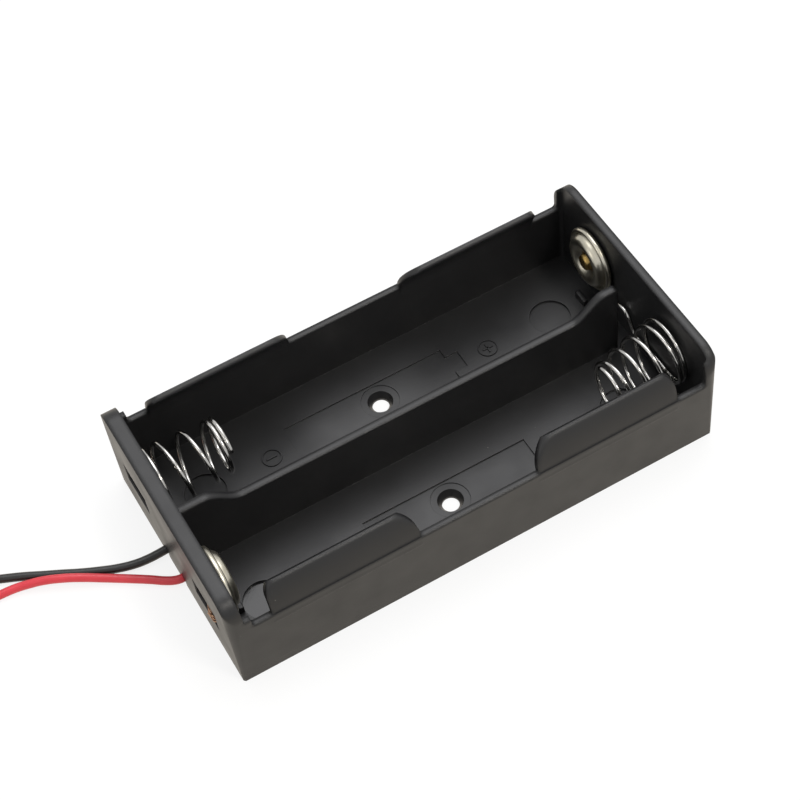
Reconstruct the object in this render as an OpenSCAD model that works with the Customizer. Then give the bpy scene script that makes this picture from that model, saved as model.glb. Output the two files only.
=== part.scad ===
// Holder for two cylindrical cells side by side, wired in series through two leads.
// X runs along the cells, with the leads at the low end. Z is up, and the origin is
// at the middle of the housing's underside.

/* [Cells] */
// Diameter of the cells that the bays take
cell_d = 18.4; // [16:0.1:22]
// Length of the cells over their end faces
cell_l = 65; // [48:0.5:78]
// Free play across each bay
cell_play = 0.25; // [0.1:0.05:0.8]

/* [Housing] */
// Thickness of the floor
floor_t = 1.8; // [1.4:0.1:2.6]
// Thickness of the long side walls and of the grips on them
side_t = 0.95; // [0.8:0.05:1.6]
// Thickness of the divider between the bays
divider_t = 1.2; // [0.9:0.1:2]
// Thickness of the end wall that the leads pass
lead_end_t = 2.4; // [2.2:0.1:3.4]
// Thickness of the end wall behind the linked contacts
link_end_t = 1.3; // [1:0.1:2]
// Height of the end walls
end_h = 18.6; // [17:0.1:22]
// Height of the side walls between the grips
side_h = 12.9; // [11:0.1:15]
// Draft of the outer walls, in degrees
draft = 1; // [0:0.25:2]
// Radius of the upper corners of the end walls
corner_r = 3.6; // [2:0.1:5]
// Radius of the upright corners
edge_r = 1.4; // [0.6:0.1:2]

/* [Grips] */
// Length of each grip that curls over a cell
grip_l = 23; // [16:0.5:26]
// Distance from the middle of the holder to the near end of a grip
grip_gap = 9.4; // [6:0.1:12]
// How far round the cell a grip reaches above its axis, in degrees
grip_reach = 39; // [25:1:50]

/* [Floor] */
// Diameter of the screw holes
hole_d = 2.6; // [2:0.1:3.2]
// Diameter of the cones that take the screw heads, at their tops
cone_d = 3.9; // [3.4:0.1:4.6]
// Diameter of the sinks round the screw holes
sink_d = 5.9; // [5:0.1:7]
// Distance between the two screw holes
hole_pitch = 20.8; // [18:0.1:24]
// Length of the cell outline on the floor, without its stud
outline_l = 27.1; // [20:0.1:34]
// Width of the cell outline on the floor
outline_w = 6.4; // [4:0.1:8]

/* [Contacts] */
// Diameter of the spring wire
wire_d = 0.66; // [0.5:0.02:0.9]
// Outer diameter of a spring at its seat
spring_base_d = 10.8; // [9:0.1:11.6]
// Outer diameter of a spring at its free end
spring_tip_d = 8.7; // [6:0.1:10]
// Free length of a spring
spring_l = 11.6; // [9:0.1:14]
// How far a cell presses its spring in
spring_travel = 4.5; // [2:0.1:6]
// Number of turns in the negative contact's spring
spring_turns = 4.5; // [4:0.1:6]
// Outer diameter of a contact cap
cap_d = 10.9; // [9:0.1:13]
// Height of a contact cap over its seat
cap_h = 2.3; // [1.6:0.1:3]

/* [Leads] */
// Diameter of the leads over their insulation
lead_d = 1.3; // [1:0.05:1.8]
// Distance from the middle of the end wall to the black lead
black_exit_y = 4.7; // [3:0.1:5.5]
// Distance from the middle of the end wall to the red lead, the other way
red_exit_y = 0.9; // [0.6:0.1:2]

/* [Hidden] */
$fn = 48;

// The housing's own sizes follow from the cells and the contacts.
bay_l = cell_l + cap_h + spring_l - spring_travel;
bay_w = cell_d + cell_play;
bay_y = divider_t / 2 + bay_w / 2;
axis_z = floor_t + cell_d / 2;
length = bay_l + lead_end_t + link_end_t;
width = divider_t + 2 * (bay_w + side_t);
lead_x = -length / 2 + lead_end_t;
link_x = length / 2 - link_end_t;
inner_y = bay_y + bay_w / 2;
base_inset_x = end_h * tan(draft);
base_inset_y = side_h * tan(draft);

// Contacts sit a little under the cells' axes, where the windows of the end wall are.
contact_z = axis_z - 0.4;
spring_z = contact_z - 0.6;
link_extra_turns = 1.1;
per_turn = 20;
ring_per_turn = 48;
crimp_t = 0.2;
ring_r = cap_d / 2 - wire_d / 2 - crimp_t - 0.03;
ring_seat = wire_d / 2 + crimp_t + 0.08;
window_y = bay_y + 1.2;
window_z = contact_z - 1.95;
window_w = 7.2;
window_h = 3.9;
tail_l = lead_end_t - 1;
tail_angle = 30;
tail_exit = [cos(tail_angle), -sin(tail_angle)];
seat_r = (spring_base_d - wire_d) / 2;
seat_gap = 0.03;
link_angle = 255;
tail_slot = 1.7;
link_slot = 4.6;

// The divider rises at both ends and stops short of the link wire.
divider_low = side_h - 0.5;
divider_high = side_h + 2.8;
ramp_l = 5.8;
ramp_start = 4;
link_gap = 2.75;
link_flat = 2;
lead_return_l = 1.1;
lead_return_h = 1.7;
link_return_l = 0.72;
foot_r = 0.6;

ejector_d = 6.3;
ejector_x = 29.6 * length / 78.1;
ejector_at = [[-ejector_x, bay_y], [ejector_x, bay_y], [ejector_x, -bay_y],
              [-ejector_x - 1, -bay_y - 0.9]];
ejector_depth = 0.4;
mark_depth = 0.25;

lead_z = 0.95;
clear = 0.2;
channel_w = lead_d + 2 * clear;
channel_d = lead_d + clear;
tail_x = lead_x - channel_d / 2;
joint_z = window_z;

// The leads lie on the table. Each route runs from the wall to where the coil takes over.
lead_r = lead_d / 2;
coil_lift = 0.3;
coil_z = coil_lift + lead_r;
exit_x = -length / 2 + base_inset_x * (1 - lead_z / end_h);
black_route = [[exit_x, black_exit_y, lead_z], [-39.4, 4.7, 0.9], [-40.2, 4.72, 0.82],
               [-41.5, 4.8, 0.7], [-43.5, 5.05, 0.65], [-46, 5.75, 0.65], [-48.5, 6.8, 0.65],
               [-51, 8, 0.65], [-53.4, 9.3, 0.65], [-55.6, 10.45, 0.65], [-58.5, 12, 0.65],
               [-61.5, 13.4, 0.65], [-65, 14.95, 0.7], [-68.5, 16.4, 0.8], [-72, 17.6, 0.9],
               [-75, 18.3, 0.95], [-78, 18.6, 0.95]];
red_route = [[exit_x, -red_exit_y, lead_z], [-39.2, -0.85, 0.93], [-39.9, -0.6, 0.85],
             [-41.2, 0.2, 0.75], [-42.6, 1.3, 0.7], [-44.5, 2.65, 0.7], [-46.6, 4.05, 0.75],
             [-48.8, 5.4, 0.95], [-51, 6.65, 1.25], [-53.5, 8, 1.4], [-56.2, 9.3, 1.3],
             [-58, 10, 1.05], [-60, 10.6, 0.8], [-62.5, 10.9, 0.65], [-66, 10.9, 0.7],
             [-70, 10.6, 0.8], [-74, 10.2, 0.9], [-78, 9.9, 0.95]];
coil_r = 8.4;
coil_pitch = lead_d + 0.1;
coil_turns = 2.3;
coil_in = coil_r - coil_pitch * coil_turns - lead_r - 0.1;
coil_out = coil_r + lead_r + 0.1;
black_coil_at = [-78, 18.6 + coil_r, 0];
red_coil_at = [-78, 9.9 - coil_r, 0];
tie_t = 0.3;
end_d = 0.8;
end_l = 5.7;

black_plastic = [0.13, 0.13, 0.14];
red_plastic = [0.78, 0.2, 0.24];
spring_steel = [0.8, 0.8, 0.78];
nickel = [0.82, 0.8, 0.7];
solder = [0.72, 0.72, 0.7];

// ---- Shapes that several sub-parts share ----

// Lifts a shape drawn in Y and Z and gives it a length along X.
module along_x(from, to)
    translate([from, 0, 0]) rotate([90, 0, 90]) linear_extrude(to - from) children();

// Lifts a shape drawn in X and Z and gives it a width across Y, about the middle.
module across_y(across)
    rotate([90, 0, 0]) linear_extrude(across, center = true) children();

module rounded_rect(size, r) {
    square([size.x - 2 * r, size.y], center = true);
    square([size.x, size.y - 2 * r], center = true);
    for (sx = [-1, 1], sy = [-1, 1])
        translate([sx * (size.x / 2 - r), sy * (size.y / 2 - r)]) circle(r);
}

// Points of an arc about c, from one angle to another.
function arc(c, r, from, to, steps) =
    [for (i = [0 : steps]) let (a = from + (to - from) * i / steps) c + r * [cos(a), sin(a)]];

function unit(v) = v / norm(v);

// Direction of a route at one of its points.
function heading(path, i) =
    unit(path[min(i + 1, len(path) - 1)] - path[max(i - 1, 0)]);

// Side direction at each point of a path, carried along it so that the section never twists.
function sides_of(path) = [
    for (i = 0, t = heading(path, 0), u = unit(cross(t, abs(t.z) < 0.9 ? [0, 0, 1] : [1, 0, 0]));
         i < len(path);
         i = i + 1, t = heading(path, min(i, len(path) - 1)), u = unit(u - (u * t) * t)) u];

// Rings of a round section, one at each point of a path.
function tube_rings(path, r, sides) =
    let (us = sides_of(path)) [
        for (i = [0 : len(path) - 1])
            let (u = us[i], v = cross(heading(path, i), u))
                for (k = [0 : sides - 1])
                    path[i] + r * (cos(360 * k / sides) * u + sin(360 * k / sides) * v)];

module tube(path, d, sides = 8) {
    n = len(path);
    walls = [for (i = [0 : n - 2], k = [0 : sides - 1])
        let (a = i * sides + k, b = i * sides + (k + 1) % sides)
            each [[a, b + sides, b], [a, a + sides, b + sides]]];
    start = [for (k = [0 : sides - 1]) k];
    finish = [for (k = [sides - 1 : -1 : 0]) (n - 1) * sides + k];
    polyhedron(tube_rings(path, d / 2, sides), concat([start, finish], walls));
}

// ---- Housing ----

// Outline of the holder from its end, with drafted sides and rounded upper corners.
module end_outline() {
    intersection() {
        polygon([[-width / 2 + base_inset_y, 0], [width / 2 - base_inset_y, 0],
                 [width / 2, side_h], [width / 2, end_h], [-width / 2, end_h],
                 [-width / 2, side_h]]);
        union() {
            translate([-width / 2, 0]) square([width, end_h - corner_r]);
            translate([-width / 2 + corner_r, 0]) square([width - 2 * corner_r, end_h]);
            for (s = [-1, 1])
                translate([s * (width / 2 - corner_r), end_h - corner_r]) circle(corner_r);
        }
    }
}

// Outline from the side: the end walls stand above the side walls, which run on a little
// way beside them, higher at the link end.
module side_outline() {
    low_x = lead_x + lead_return_l;
    high_x = link_x - link_return_l;
    difference() {
        polygon([[-length / 2 + base_inset_x, 0], [length / 2 - base_inset_x, 0],
                 [length / 2, end_h], [-length / 2, end_h]]);
        translate([low_x + foot_r, side_h]) square([high_x - low_x - 2 * foot_r, end_h]);
        translate([low_x, side_h + foot_r]) square([high_x - low_x, end_h]);
        translate([lead_x, side_h + lead_return_h]) square([high_x - lead_x, end_h]);
        for (x = [low_x + foot_r, high_x - foot_r])
            translate([x, side_h + foot_r]) circle(foot_r);
    }
}

// One grip: a strip of the cell's own curve, cut to a length with rounded upper corners.
module grip(from, to) {
    outer_r = bay_w / 2 + side_t;
    top_z = axis_z + outer_r * sin(grip_reach) + 1;
    low_r = 4.2;
    high_r = 2.2;
    corner_z = axis_z + outer_r * sin(grip_reach);
    near_r = abs(from) < abs(to) ? low_r : high_r;
    far_r = abs(from) < abs(to) ? high_r : low_r;
    intersection() {
        along_x(from, to) translate([bay_y, axis_z]) difference() {
            circle(outer_r);
            circle(bay_w / 2);
            rotate(grip_reach) translate([-2 * outer_r, 0]) square(4 * outer_r);
            translate([-2 * outer_r, -2 * outer_r]) square([4 * outer_r, 2 * outer_r]);
            translate([-2 * outer_r, -outer_r]) square([2 * outer_r, 3 * outer_r]);
        }
        across_y(2 * width) {
            translate([from, 0]) square([to - from, corner_z - max(low_r, high_r)]);
            translate([from + near_r, 0]) square([to - from - near_r - far_r, top_z]);
            translate([from + near_r, corner_z - near_r]) circle(near_r);
            translate([to - far_r, corner_z - far_r]) circle(far_r);
            translate([from, 0]) square([near_r, corner_z - near_r]);
            translate([to - far_r, 0]) square([far_r, corner_z - far_r]);
        }
    }
}

// Side view of the divider: low between the cells, with a smooth rise at each end.
module divider_outline() {
    steps = 10;
    into_wall = 0.05;
    left = lead_x + ramp_start;
    right = link_x - link_gap - link_flat;
    rise = divider_high - divider_low;
    end_r = 0.6;
    polygon(concat(
        [[lead_x - into_wall, floor_t - 0.5], [lead_x - into_wall, divider_high]],
        [for (i = [0 : steps])
            [left + ramp_l * i / steps, divider_low + rise * (1 + cos(180 * i / steps)) / 2]],
        [for (i = [0 : steps])
            [right - ramp_l + ramp_l * i / steps,
             divider_low + rise * (1 - cos(180 * i / steps)) / 2]],
        arc([link_x - link_gap - end_r, divider_high - end_r], end_r, 90, 0, 4),
        [[link_x - link_gap, floor_t - 0.5]]));
}

// Outline of a cell with its stud, about the screw hole, pointing along +X.
module cell_outline() {
    stud_l = 2.1;
    stud_w = outline_w / 2;
    start = -outline_l / 2 - stud_l / 2;
    translate([start, -outline_w / 2]) square([outline_l, outline_w]);
    translate([start, -stud_w / 2]) square([outline_l + stud_l, stud_w]);
}

// Screw hole with a cone for the screw's head, and a shallow sink round it.
module screw_hole() {
    neck_h = 0.4;
    ledge = floor_t - mark_depth - 0.15;
    translate([0, 0, -1]) cylinder(d = hole_d, h = floor_t + 2);
    translate([0, 0, neck_h]) cylinder(d1 = hole_d, d2 = cone_d, h = ledge - neck_h);
    translate([0, 0, ledge]) cylinder(d = sink_d, h = 1);
}

// Groove in the inner face of the lead end, from a lead's notch up to its window.
module lead_channel(exit_y, side) {
    rise = [side * (window_y - window_w / 2 + 1) - exit_y, joint_z - lead_z];
    along_x(lead_x - channel_d, lead_x + 0.01) translate([exit_y, lead_z]) {
        rotate(atan2(rise.y, rise.x)) translate([0, -channel_w / 2])
            square([norm(rise), channel_w]);
        circle(d = channel_w);
    }
    along_x(-length / 2 - 1, tail_x) {
        translate([exit_y, lead_z]) circle(d = channel_w);
        translate([exit_y - channel_w / 2, -1]) square([channel_w, lead_z + 1]);
    }
}

// Low rib on the floor in front of a contact cap, which the cell's end stops against.
module stop_rib() {
    translate([-0.4, -1.2, floor_t - 0.3]) cube([0.8, 2.4, 1.5]);
}

module housing() {
    stop_in = cap_h + 0.15;
    color(black_plastic) {
        difference() {
            intersection() {
                along_x(-length / 2, length / 2) end_outline();
                across_y(2 * width) side_outline();
                linear_extrude(end_h) rounded_rect([length, width], edge_r);
            }
            translate([(lead_x + link_x) / 2, 0, floor_t]) linear_extrude(end_h)
                rounded_rect([bay_l, 2 * inner_y], 0.6);
            for (s = [-1, 1]) {
                translate([0, s * hole_pitch / 2, 0]) screw_hole();
                translate([-0.3, s * hole_pitch / 2, floor_t - mark_depth])
                    linear_extrude(1) rotate(s < 0 ? 180 : 0) cell_outline();
                along_x(-length / 2 - 1, lead_x + 1)
                    translate([s * window_y, window_z])
                        square([window_w, window_h], center = true);
            }
            for (at = ejector_at)
                translate([at.x, at.y, floor_t - ejector_depth]) cylinder(d = ejector_d, h = 1);
            lead_channel(black_exit_y, 1);
            lead_channel(-red_exit_y, -1);
        }
        across_y(divider_t) divider_outline();
        for (s = [0, 1]) mirror([0, s, 0]) {
            grip(grip_gap, grip_gap + grip_l);
            grip(-grip_gap - grip_l, -grip_gap);
        }
        translate([link_x - stop_in, bay_y, 0]) stop_rib();
        translate([lead_x + stop_in, -bay_y, 0]) stop_rib();
    }
}

// ---- Contacts ----

// Distance from the seat along a conical spring, after t of its turns: closed turns at
// both ends, closed = [at the seat, at the free end], and open ones between.
function spring_x(t, turns, closed) =
    let (lie = wire_d * 1.15,
         open = (spring_l - wire_d - (closed[0] + closed[1]) * lie)
                / (turns - closed[0] - closed[1]))
        wire_d / 2 + seat_gap + (t < closed[0] ? lie * t
            : t > turns - closed[1] ? spring_l - wire_d - lie * (turns - t)
            : lie * closed[0] + open * (t - closed[0]));

// Centre line of the spring, starting at a given angle round its axis. way is 1 or -1, and
// lean is how far its free end has sunk in Y and Z.
function spring_points(start, way, turns, closed, lean) = [
    for (i = [0 : round(turns * per_turn)])
        let (t = i / per_turn, a = start + way * 360 * t, x = spring_x(t, turns, closed),
             along = (x - wire_d / 2) / (spring_l - wire_d),
             r = (spring_base_d + (spring_tip_d - spring_base_d) * along - wire_d) / 2,
             off = lean * pow(along, 1.3))
            [x, r * cos(a) + off.x, r * sin(a) + off.y]];

function moved(path, by) = [for (p = path) p + by];
function turned_back(path) = [for (i = [len(path) - 1 : -1 : 0]) path[i]];

// Spring of the negative contact, with its end bent out through the window.
module negative_spring() {
    turns = spring_points(-tail_angle, 1, spring_turns, [0.75, 1.3], [-0.8, 2]);
    seat = turns[0];
    bent = [[-tail_l, seat.y, seat.z], [-0.5, seat.y, seat.z], [0.05, seat.y - 0.05, seat.z],
            [seat.x - 0.06, seat.y - 0.15, seat.z + 0.02]];
    color(spring_steel) tube(moved(concat(bent, [for (i = [1 : len(turns) - 1]) turns[i]]),
                                   [lead_x, bay_y, spring_z]), wire_d);
}

// Stamped cap: its rim is curled round the wire ring behind it, and a round bead and a
// stud stand on its face. The rim is open at one angle, where the wire leaves it.
module contact_cap(open_at, open_w) {
    t = crimp_t;
    curl = wire_d / 2 + 0.03;
    bead = 0.75;
    bead_r = cap_d * 0.345;
    bead_h = cap_h * 0.62;
    dish = cap_h * 0.42;
    stud_r = cap_d * 0.17;
    edge = 0.4;
    rim = [ring_r, ring_seat];
    outer = concat(
        arc(rim, curl + t, -80, 110, 12),
        arc([bead_r, bead_h - bead], bead, 35, 150, 8),
        [[stud_r + 0.7, dish], [stud_r + 0.1, dish + 0.1]],
        arc([stud_r - edge, cap_h - edge], edge, 10, 90, 4),
        [[0, cap_h]]);
    inner = concat(
        [[0, cap_h - t]],
        arc([stud_r - edge, cap_h - edge], edge - t, 90, 10, 4),
        [[stud_r + 0.1 - t, dish + 0.1 - t], [stud_r + 0.7, dish - t]],
        arc([bead_r, bead_h - bead], bead - t, 150, 35, 8),
        arc(rim, curl, 110, -80, 12));
    color(nickel) difference() {
        rotate_extrude($fn = 72) polygon(concat(outer, inner));
        rotate(open_at) translate([ring_r - curl - 0.3, -open_w / 2, -1])
            cube([cap_d, open_w, ring_seat + wire_d / 2 + 1.1]);
    }
}

module positive_cap()
    translate([lead_x, -bay_y, contact_z]) rotate([0, 90, 0]) contact_cap(-90 + tail_angle, tail_slot);

// Points of the wire ring that a cap is crimped on, from one angle round it to another.
function ring_points(from, to) =
    let (n = round(abs(to - from) / 360 * ring_per_turn))
        [for (i = [0 : n]) let (a = from + (to - from) * i / n)
            [ring_seat, ring_r * cos(a), ring_r * sin(a)]];

// Ring of the positive cap, with its end bent out through the window.
module positive_ring() {
    ring = ring_points(180 + tail_angle, tail_angle - 170);
    seat = ring[0];
    bent = [[-tail_l, seat.y, seat.z], [-0.5, seat.y, seat.z], [0.05, seat.y + 0.05, seat.z],
            [seat.x - 0.06, seat.y - 0.1, seat.z + 0.06]];
    color(spring_steel) tube(moved(concat(bent, [for (i = [1 : len(ring) - 1]) ring[i]]),
                                   [lead_x, -bay_y, contact_z]), wire_d);
}

module bridge_cap()
    translate([link_x, bay_y, contact_z]) rotate([0, -90, 0])
        contact_cap(103 - link_angle, link_slot);

// One wire: the spring of one bay, the link past the divider's end and the ring of the
// other bay's cap.
module bridge_spring() {
    coils = spring_points(-90, -1, spring_turns + link_extra_turns, [1.2, 0.85], [-1.2, -1]);
    turns = [for (p = coils) [link_x - p.x, p.y - bay_y, p.z + spring_z]];
    ring = [for (p = ring_points(link_angle, link_angle + 310))
        [link_x - p.x, p.y + bay_y, p.z + contact_z]];
    seat = turns[0];
    into = ring[0];
    at = (seat.x + into.x) / 2;
    link = [[seat.x, seat.y + 2, seat.z - 0.02], [at, seat.y + 4.6, seat.z + 0.02],
            [at, -3.4, seat.z - 0.25], [at, -2.3, seat.z - 0.3], [at, -1.4, seat.z + 0.2],
            [at, -0.6, seat.z + 1.3], [at, 0.3, seat.z + 2.35], [at, 1.4, seat.z + 2.65],
            [into.x, 3, seat.z + 2.35], [into.x, into.y - 2.6, into.z + 0.95],
            [into.x, into.y - 0.9, into.z + 0.25]];
    color(spring_steel) tube(concat(turned_back(turns), link, ring), wire_d);
}

// ---- Leads ----

// Insulated end of a lead inside the end wall, from the notch up to the window.
module tail(exit_y, side) {
    from = [tail_x, exit_y, lead_z];
    to = [tail_x, side * (window_y - window_w / 2 + 1), joint_z];
    run = to - from;
    translate(from) {
        sphere(d = lead_d, $fn = 32);
        rotate([0, -90, 0]) cylinder(d = lead_d, h = tail_x - exit_x, $fn = 32);
        rotate([-atan2(run.y, run.z), 0, 0]) cylinder(d = lead_d, h = norm(run), $fn = 32);
    }
}

module black_tail() color(black_plastic) tail(black_exit_y, 1);
module red_tail() color(red_plastic) tail(-red_exit_y, -1);

// Bare conductor from the insulation to the contact's wire, which leaves the seat at
// radius r about a centre at height z, with the solder round both.
module joint(side, r, z) {
    wire_at = [bay_y, z] + r * tail_exit;
    from = [tail_x, side * (window_y - window_w / 2 + 1), joint_z];
    to_wire = (wire_d + end_d) / 2 + 0.05;
    to = [lead_x - tail_l / 2, side * (wire_at.x - to_wire), wire_at.y];
    color(solder) {
        tube([from, (from + to) / 2 + [0, 0, 0.1], to], end_d);
        translate(to) rotate([0, 90, 0]) difference() {
            cylinder(d = 1.3, h = 1.1, center = true, $fn = 32);
            translate([0, side * to_wire, 0])
                cylinder(d = wire_d + 0.1, h = 2, center = true, $fn = 32);
        }
    }
}

module black_joint() joint(1, seat_r, spring_z);
module red_joint() joint(-1, ring_r, contact_z);

module black_lead() color(black_plastic) tube(black_route, lead_d);
module red_lead() color(red_plastic) tube(red_route, lead_d);

// Space that the coiled length takes, as a flat ring.
module coil(at) {
    translate(at + [0, 0, coil_lift]) rotate_extrude($fn = 72)
        translate([coil_in, 0]) square([coil_out - coil_in, lead_d]);
}

module black_coil() color(black_plastic) coil(black_coil_at);
module red_coil() color(red_plastic) coil(red_coil_at);

// Band round all turns of a coil.
module tie(at, angle) {
    tie_w = 1.8;
    gap = 0.12;
    band = [coil_out - coil_in + 2 * gap, lead_d + 2 * gap];
    color(black_plastic) translate(at) rotate(angle)
        translate([(coil_in + coil_out) / 2, 0, coil_lift + lead_d / 2])
            rotate([90, 0, 0]) linear_extrude(tie_w, center = true) difference() {
                square(band + 2 * [tie_t - gap, tie_t - gap], center = true);
                square(band, center = true);
            }
}

module black_tie() tie(black_coil_at, 200);
module red_tie() tie(red_coil_at, -200);

// Bare tinned end, lying across the inside of the coil.
module bare_end(at, side) {
    color(solder) translate(at + [-3.4, side * 3.05, coil_z]) rotate([0, 90, 0])
        cylinder(d = end_d, h = end_l, $fn = 24);
}

module black_end() bare_end(black_coil_at, 1);
module red_end() bare_end(red_coil_at, -1);

housing();
negative_spring();
positive_cap();
positive_ring();
bridge_spring();
bridge_cap();
black_tail();
red_tail();
black_joint();
red_joint();
black_lead();
red_lead();
black_coil();
red_coil();
black_tie();
red_tie();
black_end();
red_end();
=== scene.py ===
# Open tray for two round cells side by side, joined in series: black moulded tray with curled
# grips, conical wire springs, plated contact caps, and two thin leads with bare tinned ends.
# Metres, Z up, tray centred on the origin with the leads leaving at -X.
import math

import bmesh
import bpy
from mathutils import Matrix, Vector, noise


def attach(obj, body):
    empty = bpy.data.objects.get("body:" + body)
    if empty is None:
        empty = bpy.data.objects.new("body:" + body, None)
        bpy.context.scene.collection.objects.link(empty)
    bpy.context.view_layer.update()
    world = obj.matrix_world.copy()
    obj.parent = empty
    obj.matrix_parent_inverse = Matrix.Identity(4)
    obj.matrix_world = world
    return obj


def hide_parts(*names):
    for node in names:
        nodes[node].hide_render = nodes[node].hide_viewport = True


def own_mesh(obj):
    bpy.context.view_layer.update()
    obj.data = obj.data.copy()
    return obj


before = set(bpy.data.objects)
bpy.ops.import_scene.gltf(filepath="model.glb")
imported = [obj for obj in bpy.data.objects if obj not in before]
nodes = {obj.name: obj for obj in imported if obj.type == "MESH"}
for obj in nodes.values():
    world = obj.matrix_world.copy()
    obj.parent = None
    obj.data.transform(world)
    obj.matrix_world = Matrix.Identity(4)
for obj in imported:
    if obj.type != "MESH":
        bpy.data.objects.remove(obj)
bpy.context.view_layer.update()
mm = 0.001
print("frame loaded:", len(nodes), "CAD nodes")


# The camera looks down on the tray from its lead end.
view = {
    "azimuth": -23.184,  # degrees, 0 looks along +Y
    "elevation": 54.154,
    "roll": -7.862,
    "distance": 310.286,  # mm
    "target": (3.028, 9.977, 0),
    "lens": 92.74,
    "sensor": 36,
    "clip": (0.01, 20),  # m
}


def placeCamera(look):
    az, el, roll = (math.radians(look[key]) for key in ("azimuth", "elevation", "roll"))
    back = Vector((math.sin(az) * math.cos(el), -math.cos(az) * math.cos(el), math.sin(el)))
    level = (-back).cross(Vector((0, 0, 1))).normalized()
    upright = level.cross(-back)
    right = level * math.cos(roll) + upright * math.sin(roll)
    up = upright * math.cos(roll) - level * math.sin(roll)
    data = bpy.data.cameras.new("camera")
    data.lens = look["lens"]
    data.sensor_width = look["sensor"]
    data.clip_start, data.clip_end = look["clip"]
    camera = bpy.data.objects.new("camera", data)
    bpy.context.collection.objects.link(camera)
    place = Matrix((right, up, back)).transposed().to_4x4()
    place.translation = (Vector(look["target"]) + back * look["distance"]) * mm
    camera.matrix_world = place
    bpy.context.scene.camera = camera


placeCamera(view)
print("camera placed")


# Materials: each starts from what the real one is and how its surface was made.
def toLinear(code):
    levels = [int(code[i : i + 2], 16) / 255 for i in (1, 3, 5)]
    linear = [v / 12.92 if v <= 0.04045 else ((v + 0.055) / 1.055) ** 2.4 for v in levels]
    return (*linear, 1)


def addNode(tree, kind, settings=None, links=None):
    # A number or a socket's name sets that socket; any other name is a setting of the node.
    node = tree.nodes.new(kind)
    for key, value in (settings or {}).items():
        if isinstance(key, int) or key in node.inputs:
            node.inputs[key].default_value = value
        else:
            setattr(node, key, value)
    for socket, source in (links or {}).items():
        tree.links.new(source, node.inputs[socket])
    return node


def newMaterial(name):
    material = bpy.data.materials.new(name)
    material.use_nodes = True
    tree = material.node_tree
    tree.nodes.clear()
    place = addNode(tree, "ShaderNodeTexCoord").outputs["Object"]
    return material, tree, place


def perMm(size):
    return 1000 / size  # a noise scale whose features are that many mm wide


plastic = {
    "dark": "#181819",
    "light": "#202021",
    "dust": "#77746e",
    "ior": 1.47,
    "roughness": (0.34, 0.44),
    "polished": 0.14,  # roughness of the face left by the newest ejector pin
    "pinFace": 1.4,  # mm, its height
    "pinCorner": -30,  # mm, x plus y stays under this only in its corner of the tray
    "clouds": 11,  # mm, darker and lighter areas
    "specks": 3,  # mm apart
    "dusty": 7,  # mm, patches that hold the specks
    "worn": 5,  # mm, patches of more and less gloss
    "grain": 0.35,  # mm, spark-eroded mould skin, drawn coarser than its real 0.05 mm
    "grainDepth": 0.012,  # mm
    # mm: over each rise in height its radius goes from the first to the second, and edges
    # read as round as both radii together
    "edges": ({"rise": (2.3, 2.6), "radius": (0.06, 0.5)},
              {"rise": (11.6, 12.6), "radius": (0, 0.5)}),
}


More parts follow.
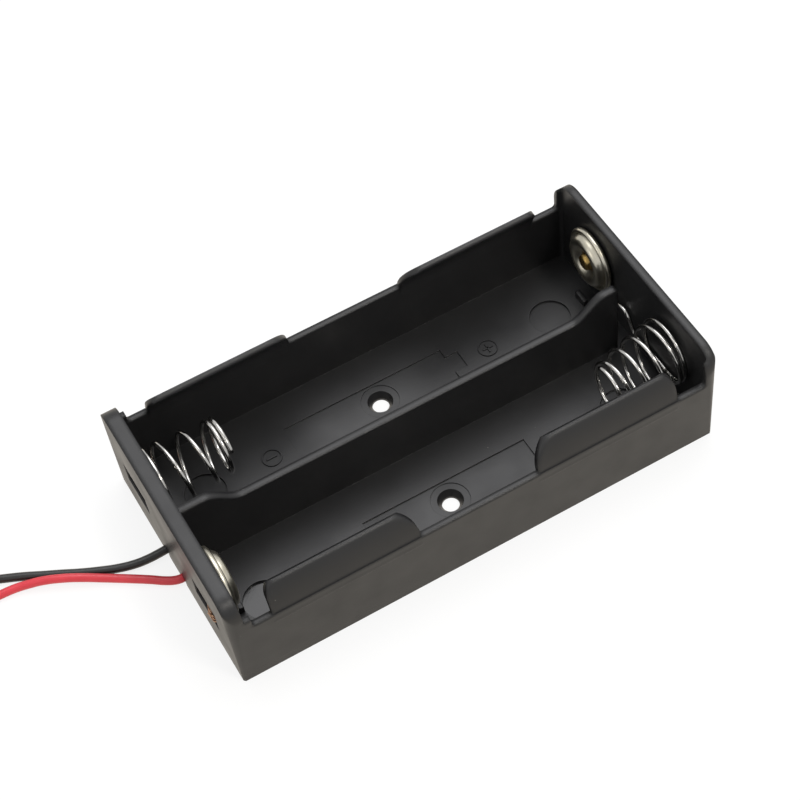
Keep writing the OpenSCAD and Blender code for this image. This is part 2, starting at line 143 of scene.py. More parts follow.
def mouldedAbs():
    # Black ABS from a lightly eroded steel mould: deep black, satin, with soft bright edges.
    material, tree, place = newMaterial("moulded black ABS")
    cloud = addNode(tree, "ShaderNodeTexNoise", {"Scale": perMm(plastic["clouds"]), "Detail": 4,
                    "Roughness": 0.55}, {"Vector": place})
    colour = addNode(tree, "ShaderNodeMix", {"data_type": "RGBA", 6: toLinear(plastic["dark"]),
                     7: toLinear(plastic["light"])}, {"Factor": cloud.outputs["Fac"]})
    specks = addNode(tree, "ShaderNodeTexVoronoi", {"Scale": perMm(plastic["specks"]),
                     "Randomness": 1}, {"Vector": place})
    isSpeck = addNode(tree, "ShaderNodeMapRange", {"From Min": 0.02, "From Max": 0.03,
                      "To Min": 1, "To Max": 0}, {"Value": specks.outputs["Distance"]})
    few = addNode(tree, "ShaderNodeTexNoise", {"Scale": perMm(plastic["dusty"]), "Detail": 1},
                  {"Vector": place})
    where = addNode(tree, "ShaderNodeMapRange", {"From Min": 0.56, "From Max": 0.64,
                    "To Min": 0, "To Max": 0.9}, {"Value": few.outputs["Fac"]})
    dust = addNode(tree, "ShaderNodeMath", {"operation": "MULTIPLY"},
                   {0: isSpeck.outputs["Result"], 1: where.outputs["Result"]})
    dusted = addNode(tree, "ShaderNodeMix", {"data_type": "RGBA", 7: toLinear(plastic["dust"])},
                     {"Factor": dust.outputs["Value"], 6: colour.outputs[2]})
    worn = addNode(tree, "ShaderNodeTexNoise", {"Scale": perMm(plastic["worn"]), "Detail": 2,
                   "Roughness": 0.5}, {"Vector": place})
    gloss = addNode(tree, "ShaderNodeMapRange", {"From Min": 0.3, "From Max": 0.7,
                    "To Min": plastic["roughness"][0], "To Max": plastic["roughness"][1]},
                    {"Value": worn.outputs["Fac"]})
    at = addNode(tree, "ShaderNodeSeparateXYZ", None, {"Vector": place})
    onPin = addNode(tree, "ShaderNodeMath", {"operation": "COMPARE", 1: plastic["pinFace"] * mm,
                    2: 0.03 * mm}, {0: at.outputs["Z"]})
    corner = addNode(tree, "ShaderNodeMath", {"operation": "ADD"},
                     {0: at.outputs["X"], 1: at.outputs["Y"]})
    corner = addNode(tree, "ShaderNodeMath", {"operation": "LESS_THAN",
                     1: plastic["pinCorner"] * mm}, {0: corner.outputs["Value"]})
    onPin = addNode(tree, "ShaderNodeMath", {"operation": "MULTIPLY"},
                    {0: onPin.outputs["Value"], 1: corner.outputs["Value"]})
    gloss = addNode(tree, "ShaderNodeMix", {"data_type": "FLOAT", "B": plastic["polished"]},
                    {"Factor": onPin.outputs["Value"], "A": gloss.outputs["Result"]})
    radii = [addNode(tree, "ShaderNodeMapRange",
                     {"From Min": edge["rise"][0] * mm, "From Max": edge["rise"][1] * mm,
                      "To Min": edge["radius"][0] * mm, "To Max": edge["radius"][1] * mm},
                     {"Value": at.outputs["Z"]}) for edge in plastic["edges"]]
    radius = addNode(tree, "ShaderNodeMath", {"operation": "ADD"},
                     {0: radii[0].outputs["Result"], 1: radii[1].outputs["Result"]})
    soft = addNode(tree, "ShaderNodeBevel", {"samples": 8}, {"Radius": radius.outputs["Value"]})
    grain = addNode(tree, "ShaderNodeTexNoise", {"Scale": perMm(plastic["grain"]), "Detail": 2,
                    "Roughness": 0.6}, {"Vector": place})
    skin = addNode(tree, "ShaderNodeBump", {"Strength": 0.5,
                   "Distance": plastic["grainDepth"] * mm},
                   {"Height": grain.outputs["Fac"], "Normal": soft.outputs["Normal"]})
    shader = addNode(tree, "ShaderNodeBsdfPrincipled", {"IOR": plastic["ior"]},
                     {"Base Color": dusted.outputs[2], "Roughness": gloss.outputs[0],
                      "Normal": skin.outputs["Normal"]})
    addNode(tree, "ShaderNodeOutputMaterial", None, {"Surface": shader.outputs["BSDF"]})
    return material


wireFinish = {
    "pale": "#dfdedb",
    "dull": "#a5a39f",
    "roughness": (0.12, 0.26),
    "patches": 1.4,  # mm, bright and dull
    "draw": 0.22,  # mm, marks of the drawing die, drawn coarser than the real ones
    "drawDepth": 0.006,  # mm
}


def platedWire():
    # Nickel-plated spring steel, drawn: bright silver with faint lines and duller patches.
    material, tree, place = newMaterial("nickel-plated spring wire")
    tone = addNode(tree, "ShaderNodeTexNoise", {"Scale": perMm(wireFinish["patches"]),
                   "Detail": 3}, {"Vector": place})
    colour = addNode(tree, "ShaderNodeMix", {"data_type": "RGBA", 6: toLinear(wireFinish["pale"]),
                     7: toLinear(wireFinish["dull"])}, {"Factor": tone.outputs["Fac"]})
    gloss = addNode(tree, "ShaderNodeMapRange", {"From Min": 0.35, "From Max": 0.7,
                    "To Min": wireFinish["roughness"][0], "To Max": wireFinish["roughness"][1]},
                    {"Value": tone.outputs["Fac"]})
    lines = addNode(tree, "ShaderNodeTexNoise", {"Scale": perMm(wireFinish["draw"]), "Detail": 2},
                    {"Vector": place})
    bump = addNode(tree, "ShaderNodeBump", {"Strength": 0.25,
                   "Distance": wireFinish["drawDepth"] * mm}, {"Height": lines.outputs["Fac"]})
    shader = addNode(tree, "ShaderNodeBsdfPrincipled", {"Metallic": 1},
                     {"Base Color": colour.outputs[2], "Roughness": gloss.outputs["Result"],
                      "Normal": bump.outputs["Normal"]})
    addNode(tree, "ShaderNodeOutputMaterial", None, {"Surface": shader.outputs["BSDF"]})
    return material


capFinish = {
    "pale": "#e0dccf",
    "dull": "#aea894",
    "stud": "#b3975c",
    "roughness": (0.29, 0.35),
    "patches": 2.2,  # mm, bright and dull
    "marks": 0.4,  # mm, left by the press tool
    "marksDepth": 0.01,  # mm
    "centre": (9.925, 10.6),  # mm, across and up; the two caps mirror each other
    "studReach": (1.5, 2.0),  # mm from the centre: all yellow inside, none outside
}


def platedCap():
    # Pressed steel cap with a thin nickel plate: satin silver, its stud rubbed to a warm yellow.
    material, tree, place = newMaterial("nickel-plated pressed steel")
    tone = addNode(tree, "ShaderNodeTexNoise", {"Scale": perMm(capFinish["patches"]),
                   "Detail": 4}, {"Vector": place})
    colour = addNode(tree, "ShaderNodeMix", {"data_type": "RGBA", 6: toLinear(capFinish["pale"]),
                     7: toLinear(capFinish["dull"])}, {"Factor": tone.outputs["Fac"]})
    spot = addNode(tree, "ShaderNodeSeparateXYZ", None, {"Vector": place})
    across = addNode(tree, "ShaderNodeMath", {"operation": "ABSOLUTE"}, {0: spot.outputs["Y"]})
    across = addNode(tree, "ShaderNodeMath", {"operation": "SUBTRACT",
                     1: capFinish["centre"][0] * mm}, {0: across.outputs["Value"]})
    rise = addNode(tree, "ShaderNodeMath", {"operation": "SUBTRACT",
                   1: capFinish["centre"][1] * mm}, {0: spot.outputs["Z"]})
    across = addNode(tree, "ShaderNodeMath", {"operation": "POWER", 1: 2},
                     {0: across.outputs["Value"]})
    rise = addNode(tree, "ShaderNodeMath", {"operation": "POWER", 1: 2},
                   {0: rise.outputs["Value"]})
    reach = addNode(tree, "ShaderNodeMath", {"operation": "ADD"},
                    {0: across.outputs["Value"], 1: rise.outputs["Value"]})
    reach = addNode(tree, "ShaderNodeMath", {"operation": "SQRT"}, {0: reach.outputs["Value"]})
    onStud = addNode(tree, "ShaderNodeMapRange", {"From Min": capFinish["studReach"][0] * mm,
                     "From Max": capFinish["studReach"][1] * mm, "To Min": 1, "To Max": 0},
                     {"Value": reach.outputs["Value"]})
    warm = addNode(tree, "ShaderNodeMix", {"data_type": "RGBA", 7: toLinear(capFinish["stud"])},
                   {"Factor": onStud.outputs["Result"], 6: colour.outputs[2]})
    gloss = addNode(tree, "ShaderNodeMapRange", {"From Min": 0.35, "From Max": 0.7,
                    "To Min": capFinish["roughness"][0], "To Max": capFinish["roughness"][1]},
                    {"Value": tone.outputs["Fac"]})
    marks = addNode(tree, "ShaderNodeTexNoise", {"Scale": perMm(capFinish["marks"]),
                    "Detail": 3}, {"Vector": place})
    bump = addNode(tree, "ShaderNodeBump", {"Strength": 0.2,
                   "Distance": capFinish["marksDepth"] * mm}, {"Height": marks.outputs["Fac"]})
    shader = addNode(tree, "ShaderNodeBsdfPrincipled", {"Metallic": 1},
                     {"Base Color": warm.outputs[2], "Roughness": gloss.outputs["Result"],
                      "Normal": bump.outputs["Normal"]})
    addNode(tree, "ShaderNodeOutputMaterial", None, {"Surface": shader.outputs["BSDF"]})
    return material


pvc = {
    "black": ("#131313", "#1e1e1d"),
    "red": ("#bd2330", "#d63c48"),
    "ior": 1.53,
    "roughness": {"black": (0.3, 0.44), "red": (0.29, 0.43)},
    "patches": 2.5,  # mm
    "ripple": 0.6,  # mm, from the extruder
    "rippleDepth": 0.012,  # mm
}


def softPvc(dye):
    # Extruded PVC insulation: satin, a little uneven in colour, faintly rippled along its length.
    material, tree, place = newMaterial(dye + " PVC insulation")
    tone = addNode(tree, "ShaderNodeTexNoise", {"Scale": perMm(pvc["patches"]), "Detail": 3},
                   {"Vector": place})
    colour = addNode(tree, "ShaderNodeMix", {"data_type": "RGBA", 6: toLinear(pvc[dye][0]),
                     7: toLinear(pvc[dye][1])}, {"Factor": tone.outputs["Fac"]})
    ripple = addNode(tree, "ShaderNodeTexNoise", {"Scale": perMm(pvc["ripple"]), "Detail": 2},
                     {"Vector": place})
    gloss = addNode(tree, "ShaderNodeMapRange", {"From Min": 0.3, "From Max": 0.7,
                    "To Min": pvc["roughness"][dye][0], "To Max": pvc["roughness"][dye][1]},
                    {"Value": ripple.outputs["Fac"]})
    bump = addNode(tree, "ShaderNodeBump", {"Strength": 0.4,
                   "Distance": pvc["rippleDepth"] * mm}, {"Height": ripple.outputs["Fac"]})
    shader = addNode(tree, "ShaderNodeBsdfPrincipled", {"IOR": pvc["ior"]},
                     {"Base Color": colour.outputs[2], "Roughness": gloss.outputs["Result"],
                      "Normal": bump.outputs["Normal"]})
    addNode(tree, "ShaderNodeOutputMaterial", None, {"Surface": shader.outputs["BSDF"]})
    return material


# Colours, roughness, and patches in mm. Copper shows between the silver of its tin, and the
# solder has flowed and cooled to a bright grey with a slightly wrinkled skin.
softMetals = {
    "bare copper strand": ("#96694d", "#c4a68d", (0.26, 0.42), 0.6),
    "tinned copper strand": ("#c9c6bf", "#b9987c", (0.24, 0.4), 0.9),
    "tin solder": ("#cfcdc8", "#aaa8a3", (0.2, 0.36), 0.5),
}


def softMetal(name):
    one, other, roughness, patches = softMetals[name]
    material, tree, place = newMaterial(name)
    tone = addNode(tree, "ShaderNodeTexNoise", {"Scale": perMm(patches), "Detail": 3},
                   {"Vector": place})
    sharp = addNode(tree, "ShaderNodeMapRange", {"From Min": 0.4, "From Max": 0.6},
                    {"Value": tone.outputs["Fac"]})
    colour = addNode(tree, "ShaderNodeMix", {"data_type": "RGBA", 6: toLinear(one),
                     7: toLinear(other)}, {"Factor": sharp.outputs["Result"]})
    gloss = addNode(tree, "ShaderNodeMapRange", {"To Min": roughness[0],
                    "To Max": roughness[1]}, {"Value": tone.outputs["Fac"]})
    bump = addNode(tree, "ShaderNodeBump", {"Strength": 0.35, "Distance": 0.02 * mm},
                   {"Height": tone.outputs["Fac"]})
    shader = addNode(tree, "ShaderNodeBsdfPrincipled", {"Metallic": 1},
                     {"Base Color": colour.outputs[2], "Roughness": gloss.outputs["Result"],
                      "Normal": bump.outputs["Normal"]})
    addNode(tree, "ShaderNodeOutputMaterial", None, {"Surface": shader.outputs["BSDF"]})
    return material


absPlastic = mouldedAbs()
springSteel = platedWire()
capSteel = platedCap()
blackPvc = softPvc("black")
redPvc = softPvc("red")
strandCopper = softMetal("bare copper strand")
tinnedCopper = softMetal("tinned copper strand")
tinSolder = softMetal("tin solder")
print("materials made")


def finishPiece(piece, body, material):
    piece.data.materials.clear()
    piece.data.materials.append(material)
    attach(piece, body)


def bentCurve(name, points, diameter, sides=3, smooth=True):
    # One open spline through the points (mm), as thick as the wire.
    data = bpy.data.curves.new(name, "CURVE")
    data.dimensions = "3D"
    data.bevel_depth = diameter / 2 * mm
    data.bevel_resolution = sides
    data.use_fill_caps = True
    if smooth:
        spline = data.splines.new("BEZIER")
        spline.bezier_points.add(len(points) - 1)
        for knot, point in zip(spline.bezier_points, points):
            knot.co = Vector(point) * mm
            knot.handle_left_type = knot.handle_right_type = "AUTO"
        spline.resolution_u = 6
    else:
        spline = data.splines.new("POLY")
        spline.points.add(len(points) - 1)
        for knot, point in zip(spline.points, points):
            knot.co = (*(Vector(point) * mm), 1)
    piece = bpy.data.objects.new(name, data)
    bpy.context.collection.objects.link(piece)
    return piece


def bentWire(name, paths, diameter, sides=3, smooth=True):
    # The same wire as a closed mesh; several paths give several wires in one piece.
    shape = bmesh.new()
    for path in paths:
        curve = bentCurve(name + "_line", path, diameter, sides, smooth)
        bpy.context.view_layer.update()
        mesh = bpy.data.meshes.new_from_object(curve.evaluated_get(
            bpy.context.evaluated_depsgraph_get()))
        shape.from_mesh(mesh)
        data = curve.data
        bpy.data.objects.remove(curve)
        bpy.data.curves.remove(data)
        bpy.data.meshes.remove(mesh)
    bmesh.ops.remove_doubles(shape, verts=shape.verts, dist=1e-7)
    bmesh.ops.recalc_face_normals(shape, faces=shape.faces)
    for face in shape.faces:
        face.smooth = len(face.verts) == 4
    mesh = bpy.data.meshes.new(name)
    shape.to_mesh(mesh)
    shape.free()
    piece = bpy.data.objects.new(name, mesh)
    bpy.context.collection.objects.link(piece)
    return piece


def meshPiece(name, shape, smoothAngle=40):
    bmesh.ops.recalc_face_normals(shape, faces=shape.faces)
    for face in shape.faces:
        face.smooth = True
    for edge in shape.edges:
        closed = len(edge.link_faces) == 2
        edge.smooth = closed and edge.calc_face_angle() < math.radians(smoothAngle)
    mesh = bpy.data.meshes.new(name)
    shape.to_mesh(mesh)
    shape.free()
    piece = bpy.data.objects.new(name, mesh)
    bpy.context.collection.objects.link(piece)
    return piece


lead = {
    "thick": 1.3,  # mm
    "length": 145,  # mm of insulation from the tray to the bare end
    "height": 0.95,  # mm, of the coil's middle
    "coilRadius": 8.4,  # mm
    "coilPitch": 1.4,  # mm
    "coilTurns": 2.3,
    "perTurn": 14,
    "tip": ((-3.3, 2.76), (-1.2, 3.05)),  # mm from the middle of the coil
    "bareThick": 0.78,  # mm
    "bareReach": (-0.3, 3.5),  # mm past the end of the insulation
    "strands": 7,
    "strand": 0.2,  # mm
    "lay": 9,  # mm of length to a full twist
    "perStrand": 14,
}
# Points along each lead, mm, from its channel in the end wall to its coil.
blackRoute = [(-38.742, 4.7, .95), (-39.4, 4.7, .9), (-40.2, 4.72, .82), (-41.5, 4.8, .7),
              (-43.5, 5.05, .65), (-46, 5.75, .65), (-48.5, 6.8, .65), (-51, 8, .65),
              (-53.4, 9.3, .65), (-55.6, 10.45, .65), (-58.5, 12, .65), (-61.5, 13.4, .65),
              (-65, 14.95, .7), (-68.5, 16.4, .8), (-72, 17.6, .9), (-75, 18.3, .95),
              (-78, 18.6, .95)]
redRoute = [(-38.742, -.9, .95), (-39.2, -.85, .93), (-39.9, -.6, .85), (-41.2, .2, .75),
            (-42.6, 1.3, .7), (-44.5, 2.65, .7), (-46.6, 4.05, .75), (-48.8, 5.4, .95),
            (-51, 6.65, 1.25), (-53.5, 8, 1.4), (-56.2, 9.3, 1.3), (-58, 10, 1.05),
            (-60, 10.6, .8), (-62.5, 10.9, .65), (-66, 10.9, .7), (-70, 10.6, .8),
            (-74, 10.2, .9), (-78, 9.9, .95)]


def coilPoints(centre, way):
    # Flat spiral that starts where the route ends, then turns in to a short straight end.
    steps = round(lead["coilTurns"] * lead["perTurn"])
    start = math.radians(90 * way)
    points = []
    for i in range(1, steps + 1):
        turn = lead["coilTurns"] * i / steps
        reach = lead["coilRadius"] - lead["coilPitch"] * turn
        angle = start + way * math.tau * turn
        points.append((centre[0] + reach * math.cos(angle), centre[1] + reach * math.sin(angle),
                       lead["height"]))
    points += [(centre[0] + x, centre[1] - way * y, lead["height"]) for x, y in lead["tip"]]
    return points


def strandPaths(start, end, reach):
    # Strands twisted about a straight line, the last of them along its middle.
    along = (end - start).normalized()
    side = along.cross(Vector((0, 0, 1))).normalized()
    top = side.cross(along)
    twist = (end - start).length / lead["lay"]
    outer = lead["strands"] - 1
    paths = []
    for k in range(lead["strands"]):
        out = reach if k < outer else 0
        line = []
        for i in range(lead["perStrand"] + 1):
            at = i / lead["perStrand"]
            angle = math.tau * (k / outer + at * twist)
            swing = side * math.cos(angle) + top * math.sin(angle)
            line.append(tuple(start.lerp(end, at) + swing * out))
        paths.append(line)
    return paths


def makeLead(colour, material, route, centre, way):
    points = route + coilPoints(centre, way)
    cable = bentCurve(colour + "_cable", points, lead["thick"], 4)
    finishPiece(cable, "holder", material)
    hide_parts(colour + "_lead", colour + "_coil")
    ends = [Vector(points[-1]) + Vector((x, 0, 0)) for x in lead["bareReach"]]
    bare = bentWire(colour + "_bare_end",
                    strandPaths(*ends, (lead["bareThick"] - lead["strand"]) / 2),
                    lead["strand"], 1)
    finishPiece(bare, "holder", tinnedCopper)
    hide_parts(colour + "_end")


makeLead("black", blackPvc, blackRoute, (-78, 27), -1)
makeLead("red", redPvc, redRoute, (-78, 1.5), 1)
print("leads laid")


tray = {  # mm
    "leadWall": -36.65,
    "linkWall": 37.75,
    "bay": 9.925,
    "springHeight": 10.0,
    "contactHeight": 10.6,
}
spring = {
    "wire": 0.66,  # mm
    "base": 10.8,  # mm across at the wall
    "tip": 8.7,
    "length": 11.6,
    "seatGap": 0.03,
    "lie": 1.15,  # wires between the middles of closed turns
    "leanCurve": 1.3,
    "perTurn": 44,
    "keep": 0.61,  # share of its length left when pressed home
    # degrees of its seat, way round, turns, closed ones at wall and tip, lean across and up
    "negative": (-30, 1, 4.5, (0.75, 1.3), (-0.8, 2)),
    "bridge": (-90, -1, 5.6, (1.2, 0.85), (-1.2, -1)),
}


def springLine(start, way, turns, closed, lean):
    # Distance from the wall, then across and up, for a cone with closed turns at both ends.
    lie = spring["wire"] * spring["lie"]
    opened = (spring["length"] - spring["wire"] - sum(closed) * lie) / (turns - sum(closed))
    line = []
    for i in range(round(turns * spring["perTurn"]) + 1):
        t = i / spring["perTurn"]
        if t < closed[0]:
            rest = lie * t
        elif t > turns - closed[1]:
            rest = spring["length"] - spring["wire"] - lie * (turns - t)
        else:
            rest = lie * closed[0] + opened * (t - closed[0])
        x = spring["wire"] / 2 + spring["seatGap"] + rest
        along = (x - spring["wire"] / 2) / (spring["length"] - spring["wire"])
        reach = (spring["base"] + (spring["tip"] - spring["base"]) * along - spring["wire"]) / 2
        angle = math.radians(start + way * 360 * t)
        sink = abs(along) ** spring["leanCurve"]
        line.append(Vector((x, reach * math.cos(angle) + lean[0] * sink,
                            reach * math.sin(angle) + lean[1] * sink)))
    return line


ring = {
    "radius": 4.89,  # mm
    "seat": 0.61,  # mm out from the wall
    "start": 255,  # degrees
    "sweep": 310,
    "perTurn": 48,
}


def ringLine():
    steps = round(ring["sweep"] / 360 * ring["perTurn"])
    line = []
    for i in range(steps + 1):
        angle = math.radians(ring["start"] + ring["sweep"] * i / steps)
        line.append(Vector((ring["seat"], ring["radius"] * math.cos(angle),
                            ring["radius"] * math.sin(angle))))
    return line


link = {  # mm across and up
    "fromSeat": ((2, -0.02), (4.6, 0.02)),
    # through the slot in the divider: across from the tray's middle, up from the seat
    "throughSlot": ((-3.4, -0.25), (-2.3, -0.3), (-1.4, 0.2), (-0.6, 1.3), (0.3, 2.35),
                    (1.4, 2.65), (3, 2.35)),
    "toRing": ((-2.6, 0.95), (-0.9, 0.25)),
}


def makeNegative():
    wall = Vector((tray["leadWall"], tray["bay"], tray["springHeight"]))
    coil = springLine(*spring["negative"])
    seat = coil[0]
    piece = bentWire("negative_coil", [[tuple(wall + p) for p in coil]], spring["wire"], 4, False)
    finishPiece(piece, "holder", springSteel)
    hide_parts("negative_spring")
    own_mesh(piece)
    # From the solder behind the wall, through it, and into the seat.
    tail = [Vector((-1.4, seat.y, seat.z)), Vector((-0.5, seat.y, seat.z)),
            Vector((0.05, seat.y - 0.05, seat.z)),
            Vector((seat.x - 0.06, seat.y - 0.15, seat.z + 0.02)), coil[1]]
    piece = bentWire("negative_tail", [[tuple(wall + p) for p in tail]], spring["wire"], 4)
    finishPiece(piece, "holder", springSteel)


def makeBridge():
    # One wire: the front bay's spring, the link, and the ring in the back bay's cap.
    coil = [Vector((tray["linkWall"] - p.x, p.y - tray["bay"], p.z + tray["springHeight"]))
            for p in springLine(*spring["bridge"])]
    seat = coil[0]
    piece = bentWire("bridge_coil", [[tuple(p) for p in coil]], spring["wire"], 4, False)
    finishPiece(piece, "holder", springSteel)
    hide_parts("bridge_spring")
    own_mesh(piece)
    loop = [Vector((tray["linkWall"] - p.x, p.y + tray["bay"], p.z + tray["contactHeight"]))
            for p in ringLine()]
    into = loop[0]
    spots = [(seat.y + y, seat.z + z) for y, z in link["fromSeat"]]
    spots += [(y, seat.z + z) for y, z in link["throughSlot"]]
    spots += [(into.y + y, into.z + z) for y, z in link["toRing"]]
    depths = [seat.x] + [(seat.x + into.x) / 2] * 7 + [into.x] * 3
    line = [coil[0], *(Vector((x, *spot)) for x, spot in zip(depths, spots)), *loop]
    piece = bentWire("bridge_link", [[tuple(p) for p in line]], spring["wire"], 4)
    finishPiece(piece, "holder", springSteel)


makeNegative()
makeBridge()
print("springs wound")


cap = {
    # distance out from the wall, then from the middle, mm
    "profile": ((2.3, 0), (2.29, 0.5), (2.24, 0.9), (2.11, 1.15), (1.85, 1.3), (1.49, 1.38),
                (1.2, 1.5), (1.09, 1.7), (1.12, 1.95), (1.28, 2.15), (1.61, 2.4), (1.92, 2.65),
                (2.11, 2.95), (2.2, 3.3), (2.18, 3.6), (2.04, 3.88), (1.78, 4.1), (1.38, 4.26),
                (1.02, 4.34), (0.9, 4.42), (0.98, 4.52), (1.14, 4.66), (1.21, 4.84), (1.18, 5.0),
                (1.06, 5.14), (0.81, 5.24), (0.61, 5.25), (0.43, 5.2), (0.29, 5.08), (0.22, 4.9),
                (0.22, 4.5), (0.22, 0)),
    "steps": 96,
    "smooth": 75,  # degrees
}


def makeCap(name, node, wallX, facing, y):
    shape = bmesh.new()
    spots = [Vector((wallX + facing * out, y + reach, tray["contactHeight"])) * mm
             for out, reach in cap["profile"]]
    line = [shape.verts.new(spot) for spot in spots]
    edges = [shape.edges.new(pair) for pair in zip(line, line[1:])]
    bmesh.ops.spin(shape, geom=line + edges, cent=Vector((wallX, y, tray["contactHeight"])) * mm,
                   axis=(1, 0, 0), angle=math.tau, steps=cap["steps"], use_merge=True)
    bmesh.ops.remove_doubles(shape, verts=shape.verts, dist=1e-6)
    piece = meshPiece(name, shape, cap["smooth"])
    finishPiece(piece, "holder", capSteel)
    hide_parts(node)


makeCap("positive_button", "positive_cap", tray["leadWall"], 1, -tray["bay"])
makeCap("bridge_button", "bridge_cap", tray["linkWall"], -1, tray["bay"])
print("caps pressed")


joint = {
    "strands": 10,
    "strand": 0.18,  # mm
    "from": (-37.4, 8.3, 8.65),  # x, distance across, height of the insulation's end
    "blob": (0.62, 0.72, 0.6),  # mm, half the bead's sizes
    "lumps": 0.16,
    "seed": 3,  # of the strands' sway; without one it differs each run
    # side of the tray; the bead's middle in mm; how far out of the window the loose ones lean
    "black": (1, (-37.85, 14.0, 7.5), -37.9),
    "red": (-1, (-37.85, 13.9, 8.1), -38.9),
}


def makeJoint(colour):
    # Untwisted strands from the insulation's end to the wire's tail, under a bead of solder.
    side, to, out = joint[colour]
    start = Vector(joint["from"])
    end = Vector(to)
    paths = []
    for k in range(joint["strands"]):
        turn = math.tau * k / joint["strands"]
        sway = noise.noise_vector(Vector((k * 3.1, side, 0.5)))
        fan = (k / (joint["strands"] - 1) - 0.5) * 2
        line = [start + Vector((0.3 * math.sin(turn), 0, 0.3 * math.cos(turn))),
                start + Vector((-0.2 + 0.2 * sway.x, 1.4, 0.5 * fan)),
                Vector((out + 0.35 + 0.2 * sway.y, 11.3, (start.z + end.z) / 2 + 0.75 * fan)),
                Vector((out + 0.4 * sway.z, 12.5 + 0.5 * sway.x, end.z + 0.95 * fan)),
                Vector((out + 0.2 + 0.3 * sway.x, 13.6 + 0.4 * sway.z, end.z + 0.6 * fan)),
                end + Vector((0, 0, 0.2 * fan))]
        if k % 2:  # a loose one, its end splayed out of the window
            line[3:] = [Vector((out + 0.15 + 0.2 * sway.z, 12.2 + 0.5 * fan, end.z + 0.9 * fan)),
                        Vector((out - 0.25, 12.8 + 0.9 * fan, end.z + 0.4 + fan))]
        paths.append([(p.x, side * p.y, p.z) for p in line])
    strands = bentWire(colour + "_strands", paths, joint["strand"], 1)
    finishPiece(strands, "holder", strandCopper)
    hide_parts(colour + "_joint")
    shape = bmesh.new()
    bmesh.ops.create_icosphere(shape, subdivisions=4, radius=1)
    centre = Vector((to[0], side * to[1], to[2]))
    for point in shape.verts:
        lump = 1 + joint["lumps"] * noise.noise(point.co * 1.3 + Vector((side, 0, 2)))
        point.co = (centre + Vector([a * b for a, b in zip(point.co, joint["blob"])]) * lump) * mm
    bead = meshPiece(colour + "_solder", shape, 180)
    finishPiece(bead, "holder", tinSolder)


noise.seed_set(joint["seed"])
makeJoint("black")
makeJoint("red")
print("joints soldered")


sign = {  # mm
    "radius": 1.45,
    "stroke": 0.26,
    "draft": 0.05,
    "bar": 1.7,
    "foot": 1.74,
    "top": 2.0,
    "steps": 48,
    # middle, and whether it is a plus
    "at": ((-18.6, 9.925, False), (18.5, 9.925, True), (18.6, -9.925, False),
           (-18.5, -9.925, True)),
}


def addBar(shape, centre, long, wide):
    low, high = sign["foot"], sign["top"]
    made = bmesh.ops.create_cube(shape, size=1)["verts"]
    bmesh.ops.scale(shape, vec=(long * mm, wide * mm, (high - low) * mm), verts=made)
    bmesh.ops.translate(shape, vec=Vector((centre[0], centre[1], (low + high) / 2)) * mm,
                        verts=made)


def makeSigns():
    shape = bmesh.new()
    low, high = sign["foot"], sign["top"]
    for x, y, plus in sign["at"]:
        inner, outer = sign["radius"] - sign["stroke"] / 2, sign["radius"] + sign["stroke"] / 2
        corners = [(inner, low), (outer, low), (outer - sign["draft"], high),
                   (inner + sign["draft"], high)]
        start = [shape.verts.new(Vector((x + r, y, z)) * mm) for r, z in corners]
        edges = [shape.edges.new((start[i], start[(i + 1) % 4])) for i in range(4)]
        bmesh.ops.spin(shape, geom=start + edges, cent=Vector((x, y, 0)) * mm, axis=(0, 0, 1),
                       angle=math.tau, steps=sign["steps"], use_merge=True)
        addBar(shape, (x, y), sign["bar"], sign["stroke"])
        if plus:
            addBar(shape, (x, y), sign["stroke"], sign["bar"])
    piece = meshPiece("polarity_signs", shape)
    finishPiece(piece, "holder", absPlastic)


makeSigns()
print("signs raised")


# CAD nodes that keep their own shape take their finish here.
nodeFinish = {
    "housing": absPlastic,
    "positive_ring": springSteel,
    "black_tail": blackPvc,
    "red_tail": redPvc,
    "black_tie": blackPvc,
    "red_tie": blackPvc,
}
for name, material in nodeFinish.items():
    nodes[name].data.materials[0] = material
print("nodes finished")


studio = {
    "paper": "#fbfbfa",
    "warm": "#f6efe4",  # what the tray's sides see of the paper
    "glow": 0.82,  # share of the paper that shines by itself; the rest takes the shadow
    "world": 0.74,
    "floor": 3,  # metres each way
    "lamps": {  # watts and metres
        "softboxAbove": {"from": (0.25, 0.36, 0.9), "away": 0.6, "side": 0.5, "power": 2.15,
                         "tint": "#fdfdff"},
        "softboxFront": {"from": (0.23, -0.5, 0.84), "away": 0.6, "side": 0.1, "power": 0.9,
                         "tint": "#fffaf2"},
        "softboxLeft": {"from": (-0.75, -0.1, 0.65), "away": 0.6, "side": 0.2, "power": 0.25,
                        "tint": "#fffaf2"},
    },
}


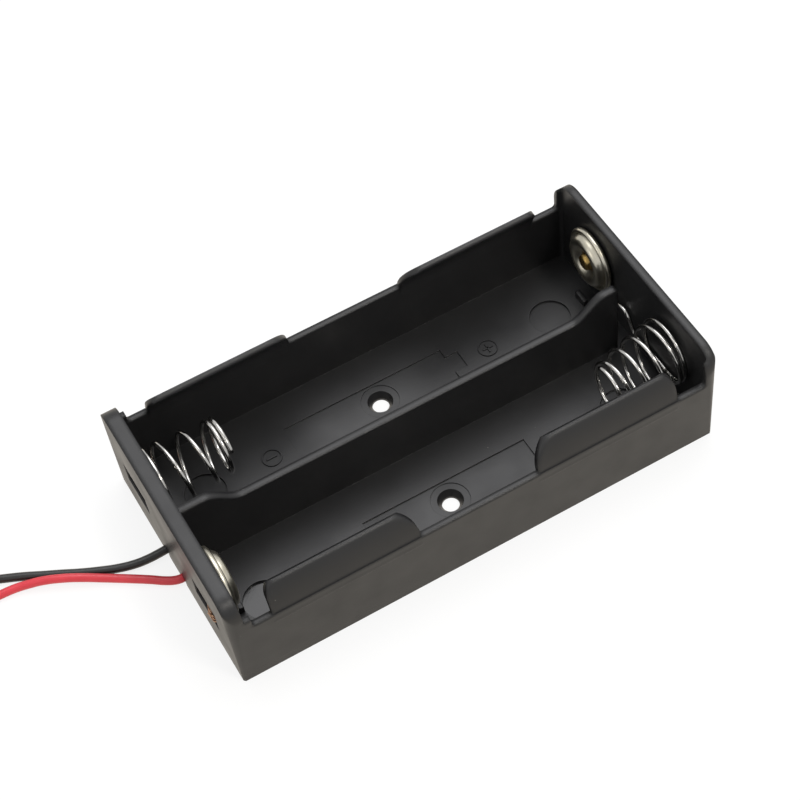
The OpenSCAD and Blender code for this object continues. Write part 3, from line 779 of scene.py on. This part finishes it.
def makeStage():
    shape = bmesh.new()
    bmesh.ops.create_grid(shape, x_segments=1, y_segments=1, size=studio["floor"])
    mesh = bpy.data.meshes.new("floor")
    shape.to_mesh(mesh)
    shape.free()
    floor = bpy.data.objects.new("floor", mesh)
    bpy.context.collection.objects.link(floor)
    # Matt white paper: keeps the shadow, and stays white where nothing shades it.
    material, tree, place = newMaterial("matt white paper")
    path = addNode(tree, "ShaderNodeLightPath")
    tint = addNode(tree, "ShaderNodeMix", {"data_type": "RGBA", 6: toLinear(studio["warm"]),
                   7: toLinear(studio["paper"])}, {"Factor": path.outputs["Is Camera Ray"]})
    shine = addNode(tree, "ShaderNodeMix", {"data_type": "RGBA", 6: toLinear(studio["warm"]),
                    7: (1, 1, 1, 1)}, {"Factor": path.outputs["Is Camera Ray"]})
    paper = addNode(tree, "ShaderNodeBsdfDiffuse", None, {"Color": tint.outputs[2]})
    glow = addNode(tree, "ShaderNodeEmission", {"Strength": 1}, {"Color": shine.outputs[2]})
    seen = addNode(tree, "ShaderNodeMath", {"operation": "MAXIMUM"},
                   {0: path.outputs["Is Camera Ray"], 1: path.outputs["Is Glossy Ray"]})
    seen = addNode(tree, "ShaderNodeMath", {"operation": "MAXIMUM"},
                   {0: seen.outputs["Value"], 1: path.outputs["Is Transmission Ray"]})
    share = addNode(tree, "ShaderNodeMath", {"operation": "MULTIPLY", 1: studio["glow"]},
                    {0: seen.outputs["Value"]})
    both = addNode(tree, "ShaderNodeMixShader", None,
                   {0: share.outputs["Value"], 1: paper.outputs["BSDF"], 2: glow.outputs[0]})
    addNode(tree, "ShaderNodeOutputMaterial", None, {"Surface": both.outputs[0]})
    mesh.materials.append(material)
    world = bpy.data.worlds.new("studio")
    bpy.context.scene.world = world
    world.use_nodes = True
    sky = world.node_tree.nodes["Background"]
    sky.inputs["Color"].default_value = (1, 1, 1, 1)
    sky.inputs["Strength"].default_value = studio["world"]
    for name, box in studio["lamps"].items():
        data = bpy.data.lights.new(name, "AREA")
        data.shape = "SQUARE"
        data.size = box["side"]
        data.energy = box["power"]
        data.color = toLinear(box["tint"])[:3]
        lamp = bpy.data.objects.new(name, data)
        bpy.context.collection.objects.link(lamp)
        toward = Vector(box["from"]).normalized()
        lamp.location = toward * box["away"]
        lamp.rotation_euler = toward.to_track_quat("Z", "Y").to_euler()


makeStage()
bpy.context.scene.view_settings.view_transform = "Standard"
print("stage lit")
